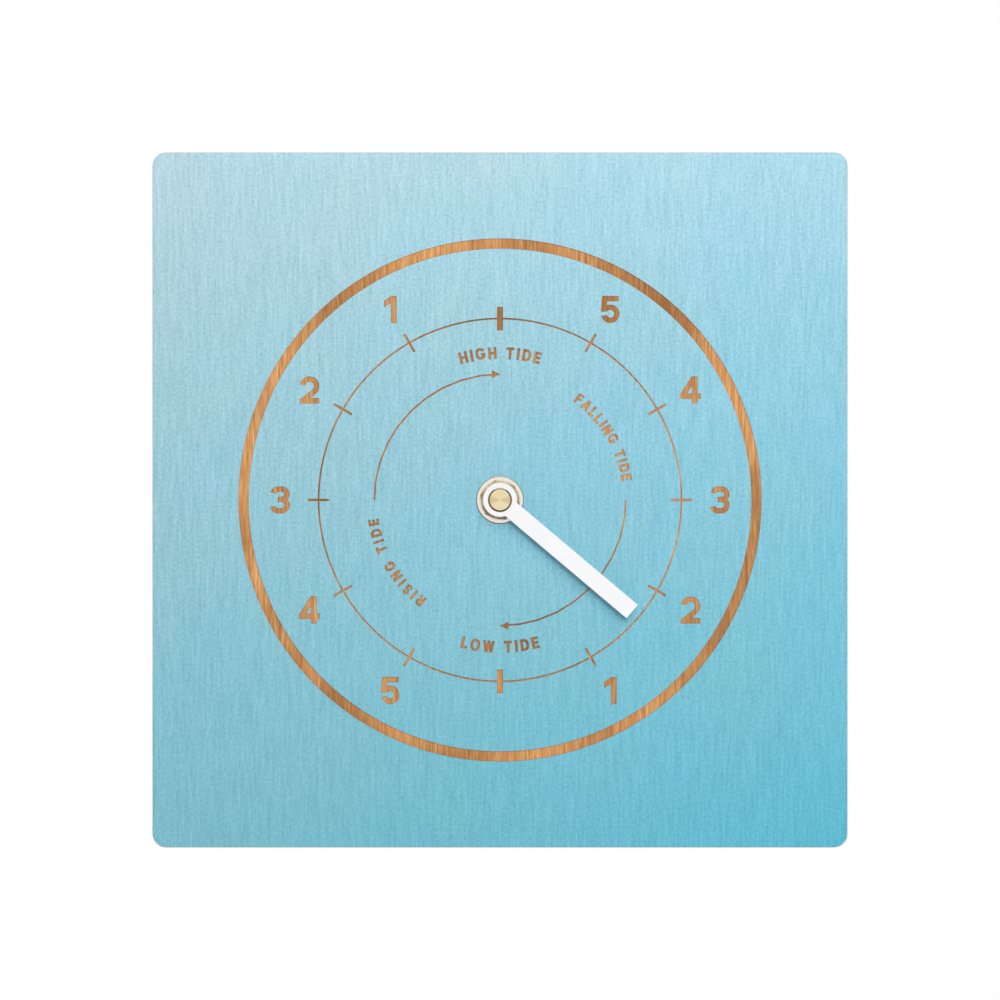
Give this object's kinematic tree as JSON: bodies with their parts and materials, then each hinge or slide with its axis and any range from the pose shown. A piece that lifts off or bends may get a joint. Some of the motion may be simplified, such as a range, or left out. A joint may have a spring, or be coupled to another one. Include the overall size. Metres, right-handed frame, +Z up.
{
  "type": "tide clock",
  "caption": "Wall-hung tide clock: a square engraved board with a tide dial, a hand, and a battery movement with a hanger behind.",
  "frame": {"origin": "on the hand's axis, in the plane of the wall that the clock hangs on, which is the rear face of the movement's cover and hanger", "axes": "+Z up, +X to the right as seen from the front, +Y from the dial towards the wall"},
  "size_m": [0.2, 0.0274, 0.2],
  "materials": {
    "painted_board": "satin paint on a bamboo board, bare wood in the engraving",
    "white_hand": "white lacquer",
    "brass": "brushed",
    "black_rubber": "matt",
    "black_plastic": "fine moulded texture",
    "natural_plastic": "smooth moulded",
    "steel": "bright",
    "magnet": "ground",
    "copper_wire": "enamelled copper wire",
    "board_laminate": "resin laminate",
    "black_resin": "cast resin",
    "battery_jacket": "printed film on a steel can"
  },
  "bodies": {
    "case": {"board": "painted_board", "brass_washer": "brass", "hex_nut": "brass", "rubber_gasket": "black_rubber", "threaded_bush": "brass", "case_front": "black_plastic", "rear_cover": "black_plastic", "train_bridge": "natural_plastic", "stator_plate": "steel", "coil_core": "steel", "coil_bobbin": "natural_plastic", "coil_winding": "copper_wire", "circuit_board": "board_laminate", "clock_chip": "black_resin", "quartz_crystal": "steel", "positive_contact": "steel", "negative_contact": "steel"},
    "hand": {"tide_hand": "white_hand", "hand_cap": "brass", "tide_wheel": "natural_plastic"},
    "reduction": {"reduction_wheel": "natural_plastic"},
    "cannon": {"cannon_pinion": "natural_plastic"},
    "setting": {"setting_knob": "black_plastic", "setting_pinion": "natural_plastic"},
    "centre": {"centre_wheel": "natural_plastic"},
    "third": {"third_wheel": "natural_plastic"},
    "second": {"second_wheel": "natural_plastic"},
    "intermediate": {"intermediate_wheel": "natural_plastic"},
    "rotor": {"rotor_pinion": "natural_plastic", "rotor_magnet": "magnet"},
    "battery": {"battery": "battery_jacket"}
  },
  "joints": [
    {"name": "tide_hand_turn", "type": "hinge", "parent": "case", "child": "hand", "pos_m": [0, 0, 0], "axis": [0, 1, 0], "continuous": true},
    {"name": "reduction_turn", "type": "hinge", "parent": "case", "child": "reduction", "pos_m": [0.0075, 0, 0], "axis": [0, 1, 0], "continuous": true},
    {"name": "cannon_turn", "type": "hinge", "parent": "case", "child": "cannon", "pos_m": [0, 0, 0], "axis": [0, 1, 0], "continuous": true},
    {"name": "setting_knob_turn", "type": "hinge", "parent": "case", "child": "setting", "pos_m": [0.015, 0, 0], "axis": [0, 1, 0], "continuous": true},
    {"name": "rotor_turn", "type": "hinge", "parent": "case", "child": "rotor", "pos_m": [0.0076, 0, 0.01316], "axis": [0, 1, 0], "continuous": true},
    {"name": "intermediate_turn", "type": "hinge", "parent": "case", "child": "intermediate", "pos_m": [0.0048, 0, 0.00831], "axis": [0, 1, 0], "continuous": true},
    {"name": "second_turn", "type": "hinge", "parent": "case", "child": "second", "pos_m": [0, 0, 0], "axis": [0, 1, 0], "continuous": true},
    {"name": "third_turn", "type": "hinge", "parent": "case", "child": "third", "pos_m": [-0.00846, 0, 0.00308], "axis": [0, 1, 0], "continuous": true},
    {"name": "centre_turn", "type": "hinge", "parent": "case", "child": "centre", "pos_m": [0, 0, 0], "axis": [0, 1, 0], "continuous": true},
    {"name": "battery_lift", "type": "slide", "parent": "case", "child": "battery", "axis": [0, 1, 0], "range_m": [0, 0.02]}
  ],
  "couplings": [
    {"joint": "reduction_turn", "follows": "tide_hand_turn", "ratio": -4},
    {"joint": "cannon_turn", "follows": "tide_hand_turn", "ratio": 12},
    {"joint": "setting_knob_turn", "follows": "tide_hand_turn", "ratio": 12},
    {"joint": "intermediate_turn", "follows": "rotor_turn", "ratio": -0.16667},
    {"joint": "second_turn", "follows": "rotor_turn", "ratio": 0.033333},
    {"joint": "third_turn", "follows": "rotor_turn", "ratio": -0.0044444},
    {"joint": "centre_turn", "follows": "rotor_turn", "ratio": 0.00055556}
  ]
}
